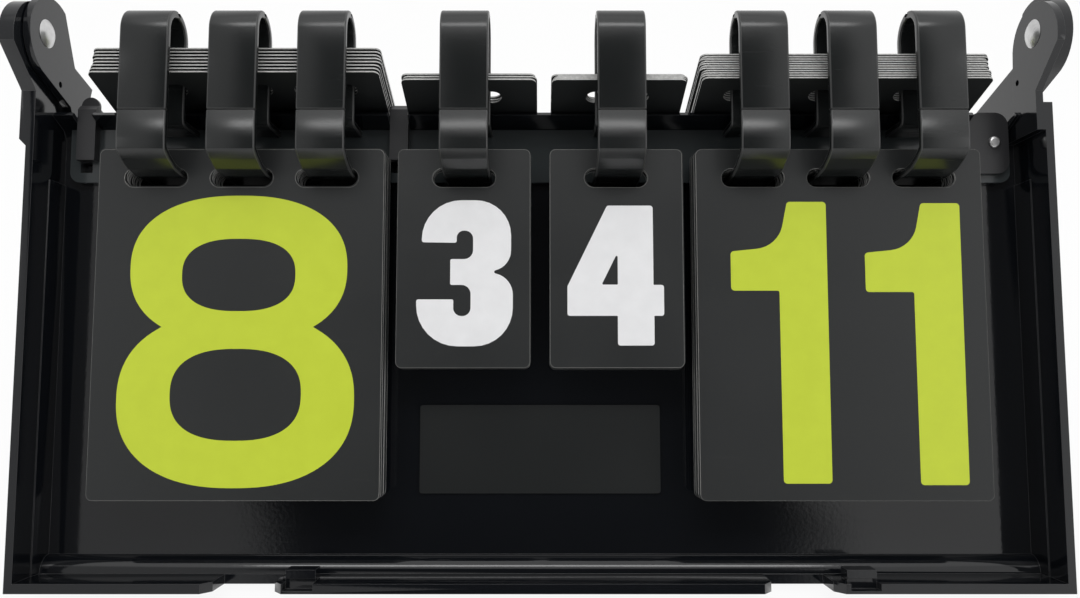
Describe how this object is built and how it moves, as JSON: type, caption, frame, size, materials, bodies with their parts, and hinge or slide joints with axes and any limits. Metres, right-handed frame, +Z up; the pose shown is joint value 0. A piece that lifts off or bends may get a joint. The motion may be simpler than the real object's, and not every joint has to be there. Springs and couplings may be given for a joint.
{
  "type": "flip scoreboard",
  "caption": "Tabletop flip scoreboard: two hinged plastic trays standing as an A-frame, with number cards that flip over snap rings on a rail.",
  "frame": {"origin": "centre of the overall box, on the surface that the scoreboard stands on", "axes": "+Z up, +X to the right seen from the front, -Y towards the viewer of the front cards"},
  "size_m": [0.381, 0.2432, 0.1872],
  "materials": {
    "case_plastic": "gloss black",
    "ring_plastic": "gloss black",
    "card_stock": "matte black with light edges",
    "rivet_metal": "satin silver",
    "label_film": "matte black"
  },
  "bodies": {
    "front_half": {"case_front": "case_plastic", "hinge_rivets": "rivet_metal", "ring_rail": "ring_plastic", "rail_clips": "ring_plastic", "rail_end_plate": "ring_plastic", "rail_rivet": "rivet_metal", "label_plate": "label_film", "ring_hook_1": "ring_plastic", "ring_hook_2": "ring_plastic", "ring_hook_3": "ring_plastic", "ring_hook_4": "ring_plastic", "ring_hook_5": "ring_plastic", "ring_hook_6": "ring_plastic", "ring_hook_7": "ring_plastic", "ring_hook_8": "ring_plastic", "ring_arch_1": "ring_plastic", "ring_arch_2": "ring_plastic", "ring_arch_3": "ring_plastic", "ring_arch_4": "ring_plastic", "ring_arch_5": "ring_plastic", "ring_arch_6": "ring_plastic", "ring_arch_7": "ring_plastic", "ring_arch_8": "ring_plastic", "deck_front_points_left": "card_stock", "deck_front_sets_left": "card_stock", "deck_front_sets_right": "card_stock", "deck_front_points_right": "card_stock"},
    "rear_half": {"case_rear": "case_plastic"},
    "top_card_points_left": {"card_top_points_left": "card_stock"},
    "flipped_points_left": {"deck_flipped_points_left": "card_stock"},
    "top_card_sets_left": {"card_top_sets_left": "card_stock"},
    "flipped_sets_left": {"deck_flipped_sets_left": "card_stock"},
    "top_card_sets_right": {"card_top_sets_right": "card_stock"},
    "flipped_sets_right": {"deck_flipped_sets_right": "card_stock"},
    "top_card_points_right": {"card_top_points_right": "card_stock"},
    "flipped_points_right": {"deck_flipped_points_right": "card_stock"}
  },
  "joints": [
    {"name": "rear_half_fold", "type": "hinge", "parent": "front_half", "child": "rear_half", "pos_m": [0, 0, 0.17517], "axis": [1, 0, 0], "range_deg": [0, 35]},
    {"name": "lift_points_left", "type": "hinge", "parent": "front_half", "child": "top_card_points_left", "pos_m": [-0.11, -0.01847, 0.14401], "axis": [-1, 0, 0], "range_deg": [0, 60]},
    {"name": "slide_points_left", "type": "slide", "parent": "rear_half", "child": "flipped_points_left", "axis": [0, -0.577, 0.8167], "range_m": [0, 0.00848]},
    {"name": "lift_sets_left", "type": "hinge", "parent": "front_half", "child": "top_card_sets_left", "pos_m": [-0.028, -0.01847, 0.14401], "axis": [-1, 0, 0], "range_deg": [0, 60]},
    {"name": "slide_sets_left", "type": "slide", "parent": "rear_half", "child": "flipped_sets_left", "axis": [0, -0.5822, 0.813], "range_m": [0, 0.01217]},
    {"name": "lift_sets_right", "type": "hinge", "parent": "front_half", "child": "top_card_sets_right", "pos_m": [0.028, -0.01847, 0.14401], "axis": [-1, 0, 0], "range_deg": [0, 60]},
    {"name": "slide_sets_right", "type": "slide", "parent": "rear_half", "child": "flipped_sets_right", "axis": [0, -0.5822, 0.813], "range_m": [0, 0.01225]},
    {"name": "lift_points_right", "type": "hinge", "parent": "front_half", "child": "top_card_points_right", "pos_m": [0.11, -0.01847, 0.14401], "axis": [-1, 0, 0], "range_deg": [0, 60]},
    {"name": "slide_points_right", "type": "slide", "parent": "rear_half", "child": "flipped_points_right", "axis": [0, -0.5902, 0.8073], "range_m": [0, 0.00976]}
  ],
  "couplings": [
    {"joint": "slide_points_left", "follows": "rear_half_fold", "m_per_rad": 0.013718},
    {"joint": "slide_sets_left", "follows": "rear_half_fold", "m_per_rad": 0.019759},
    {"joint": "slide_sets_right", "follows": "rear_half_fold", "m_per_rad": 0.01989},
    {"joint": "slide_points_right", "follows": "rear_half_fold", "m_per_rad": 0.015814}
  ]
}
